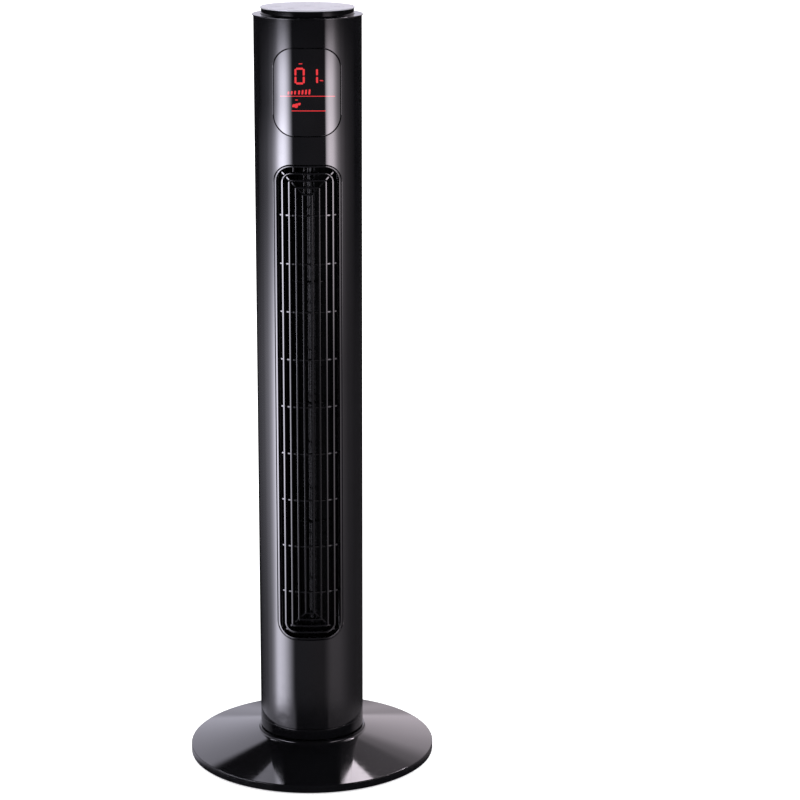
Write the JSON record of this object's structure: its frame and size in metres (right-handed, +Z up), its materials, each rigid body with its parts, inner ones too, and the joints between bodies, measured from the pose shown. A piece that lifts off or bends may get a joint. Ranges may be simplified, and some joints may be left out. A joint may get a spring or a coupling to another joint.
{
  "type": "tower fan",
  "caption": "Round glossy column fan that turns on a wide low base, with an upright outlet grille, a curved display window and push buttons on a flat top disc.",
  "frame": {"origin": "on the floor, on the axis that the column turns about", "axes": "+Z up, the outlet grille and the display face -Y, +X to the fan's own left as seen by someone standing behind it turned round, that is to the right of someone facing the fan"},
  "size_m": [0.313, 0.313, 0.96],
  "materials": {
    "gloss_black_abs": "mirror gloss, moulded",
    "satin_black_abs": "fine satin, moulded",
    "smoked_lens": "polished, nearly opaque tint",
    "silver_panel": "silver paint under clear coat",
    "silver_button": "silver paint, satin",
    "foot_rubber": "matt rubber",
    "zinc_plated_steel": "bright zinc plating",
    "laminated_steel": "stacked sheet edges",
    "copper_wire": "enamelled winding wire",
    "sintered_bronze": "oiled sintered metal",
    "white_acetal": "waxy moulded plastic",
    "grey_polypropylene": "plain moulded plastic",
    "green_laminate": "glass-fibre board with solder mask",
    "led_housing": "dark moulded case with red segments",
    "capacitor_case": "moulded case"
  },
  "bodies": {
    "base": {"base_cover": "gloss_black_abs", "base_underplate": "satin_black_abs", "rubber_foot_1": "foot_rubber", "rubber_foot_2": "foot_rubber", "rubber_foot_3": "foot_rubber", "rubber_foot_4": "foot_rubber", "base_screw_1": "zinc_plated_steel", "base_screw_2": "zinc_plated_steel", "base_screw_3": "zinc_plated_steel", "swivel_ring": "gloss_black_abs", "swivel_hub": "satin_black_abs", "sector_gear": "white_acetal", "slide_ring": "white_acetal", "retaining_nut": "zinc_plated_steel", "hub_screw_1": "zinc_plated_steel", "hub_screw_2": "zinc_plated_steel", "hub_screw_3": "zinc_plated_steel"},
    "tower": {"front_housing": "gloss_black_abs", "rear_housing": "gloss_black_abs", "front_grille": "gloss_black_abs", "rear_grille": "satin_black_abs", "display_lens": "smoked_lens", "handle_cup": "satin_black_abs", "cord_gland": "foot_rubber", "housing_screw_1": "zinc_plated_steel", "housing_screw_2": "zinc_plated_steel", "housing_screw_3": "zinc_plated_steel", "housing_screw_4": "zinc_plated_steel", "top_bezel": "gloss_black_abs", "control_head": "gloss_black_abs", "control_panel": "silver_panel", "control_board": "green_laminate", "display_module": "led_housing", "display_board": "green_laminate", "ir_receiver": "smoked_lens", "power_board": "green_laminate", "motor_capacitor": "capacitor_case", "duct_scroll": "grey_polypropylene", "duct_tongue": "grey_polypropylene", "duct_bottom_plate": "grey_polypropylene", "duct_top_plate": "grey_polypropylene", "bearing_rubber": "foot_rubber", "bearing_bush": "sintered_bronze", "motor_shell_upper": "zinc_plated_steel", "motor_shell_lower": "zinc_plated_steel", "motor_stator": "laminated_steel", "motor_winding_upper": "copper_wire", "motor_winding_lower": "copper_wire", "swivel_platter": "satin_black_abs", "oscillation_motor": "zinc_plated_steel"},
    "impeller": {"motor_rotor": "laminated_steel", "shaft_coupling": "foot_rubber", "impeller_wheel": "satin_black_abs", "impeller_pin": "zinc_plated_steel"},
    "swing_drive": {"oscillation_pinion": "white_acetal"},
    "power_key": {"button_power": "silver_button"},
    "speed_key": {"button_speed": "silver_button"},
    "timer_key": {"button_timer": "silver_button"},
    "mode_key": {"button_mode": "silver_button"},
    "swing_key": {"button_swing": "silver_button"}
  },
  "joints": [
    {"name": "oscillation", "type": "hinge", "parent": "base", "child": "tower", "pos_m": [0, 0, 0.05], "axis": [0, 0, 1], "range_deg": [-35, 35]},
    {"name": "impeller_spin", "type": "hinge", "parent": "tower", "child": "impeller", "pos_m": [0, 0.006, 0.165], "axis": [0, 0, 1], "continuous": true},
    {"name": "pinion_spin", "type": "hinge", "parent": "tower", "child": "swing_drive", "pos_m": [0, 0.045, 0.046], "axis": [0, 0, 1], "range_deg": [-141, 141]},
    {"name": "power_press", "type": "slide", "parent": "tower", "child": "power_key", "axis": [0, 0, -1], "range_m": [0, 0.0008], "stiffness_N_per_m": 300},
    {"name": "speed_press", "type": "slide", "parent": "tower", "child": "speed_key", "axis": [0, 0, -1], "range_m": [0, 0.0008], "stiffness_N_per_m": 300},
    {"name": "timer_press", "type": "slide", "parent": "tower", "child": "timer_key", "axis": [0, 0, -1], "range_m": [0, 0.0008], "stiffness_N_per_m": 300},
    {"name": "mode_press", "type": "slide", "parent": "tower", "child": "mode_key", "axis": [0, 0, -1], "range_m": [0, 0.0008], "stiffness_N_per_m": 300},
    {"name": "swing_press", "type": "slide", "parent": "tower", "child": "swing_key", "axis": [0, 0, -1], "range_m": [0, 0.0008], "stiffness_N_per_m": 300}
  ],
  "couplings": [
    {"joint": "pinion_spin", "follows": "oscillation", "ratio": 4}
  ]
}
